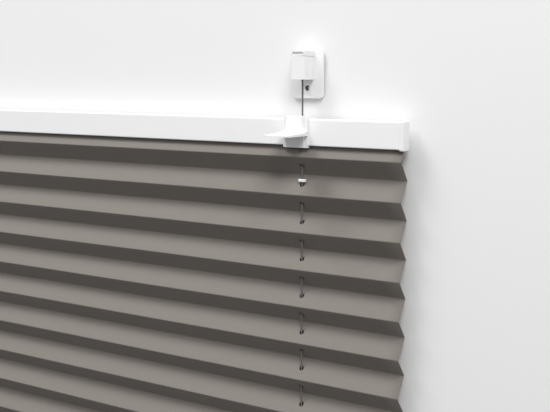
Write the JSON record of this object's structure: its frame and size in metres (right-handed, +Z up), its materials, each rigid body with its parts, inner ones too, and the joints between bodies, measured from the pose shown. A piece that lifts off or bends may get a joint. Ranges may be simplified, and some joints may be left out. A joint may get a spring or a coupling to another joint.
{
  "type": "pleated blind",
  "caption": "Pleated window blind: hollow rails with clip-on handles slide on taut vertical cords held by small base plates, with a pleated sheet between the rails.",
  "frame": {"origin": "centre of the rectangle of four screw holes, on the wall plane that the adhesive pads lie on", "axes": "+X along the rails to the right as seen from the room, +Y into the wall, +Z up along the cords"},
  "size_m": [0.6026, 0.0485, 0.7542],
  "materials": {
    "bracket_plastic": "moulded, satin white",
    "pad_foam": "matt black foam",
    "clamp_metal": "plain",
    "bead_plastic": "moulded, satin white",
    "cord_fibre": "fine braid",
    "pleated_cloth": "fine matt weave with pressed pleats",
    "spring_steel": "bright wire",
    "cap_plastic": "moulded, satin white",
    "guide_plastic": "moulded, natural white",
    "strip_plastic": "extruded, milky",
    "handle_plastic": "moulded, satin white",
    "rail_coating": "powder coated white, satin"
  },
  "bodies": {
    "root": {"adhesive_pad_lower_left": "pad_foam", "adhesive_pad_lower_right": "pad_foam", "adhesive_pad_upper_left": "pad_foam", "adhesive_pad_upper_right": "pad_foam", "base_plate_lower_left": "bracket_plastic", "base_plate_lower_right": "bracket_plastic", "base_plate_upper_left": "bracket_plastic", "base_plate_upper_right": "bracket_plastic", "cord_clamp_lower_left": "clamp_metal", "cord_clamp_lower_right": "clamp_metal", "cord_clamp_upper_left": "clamp_metal", "cord_clamp_upper_right": "clamp_metal", "cord_left": "cord_fibre", "cord_right": "cord_fibre", "pleated_fabric": "pleated_cloth", "tension_shoe_lower_left": "bracket_plastic", "tension_shoe_lower_right": "bracket_plastic", "tension_shoe_upper_left": "bracket_plastic", "tension_shoe_upper_right": "bracket_plastic"},
    "top_rail_body": {"cord_bead_left": "bead_plastic", "cord_bead_right": "bead_plastic", "top_rail": "rail_coating", "top_rail_cord_guide_left": "guide_plastic", "top_rail_cord_guide_right": "guide_plastic", "top_rail_cross_cord_front_left": "cord_fibre", "top_rail_cross_cord_front_right": "cord_fibre", "top_rail_cross_cord_rear_left": "cord_fibre", "top_rail_cross_cord_rear_right": "cord_fibre", "top_rail_end_cap_left": "cap_plastic", "top_rail_end_cap_right": "cap_plastic", "top_rail_fabric_strip": "strip_plastic", "top_rail_handle_left": "handle_plastic", "top_rail_handle_right": "handle_plastic", "top_rail_spring_front": "spring_steel", "top_rail_spring_rear": "spring_steel"},
    "bottom_rail_body": {"bottom_rail": "rail_coating", "bottom_rail_cord_guide_left": "guide_plastic", "bottom_rail_cord_guide_right": "guide_plastic", "bottom_rail_cross_cord_front": "cord_fibre", "bottom_rail_cross_cord_rear": "cord_fibre", "bottom_rail_end_cap_left": "cap_plastic", "bottom_rail_end_cap_right": "cap_plastic", "bottom_rail_fabric_strip": "strip_plastic", "bottom_rail_handle_left": "handle_plastic", "bottom_rail_handle_right": "handle_plastic"}
  },
  "joints": [
    {"name": "top_rail_slide", "type": "slide", "parent": "root", "child": "top_rail_body", "axis": [0, 0, -1], "range_m": [0, 0.28], "deforming": ["pleated_fabric"]},
    {"name": "bottom_rail_slide", "type": "slide", "parent": "root", "child": "bottom_rail_body", "axis": [0, 0, 1], "range_m": [0, 0.28], "deforming": ["pleated_fabric"]}
  ]
}
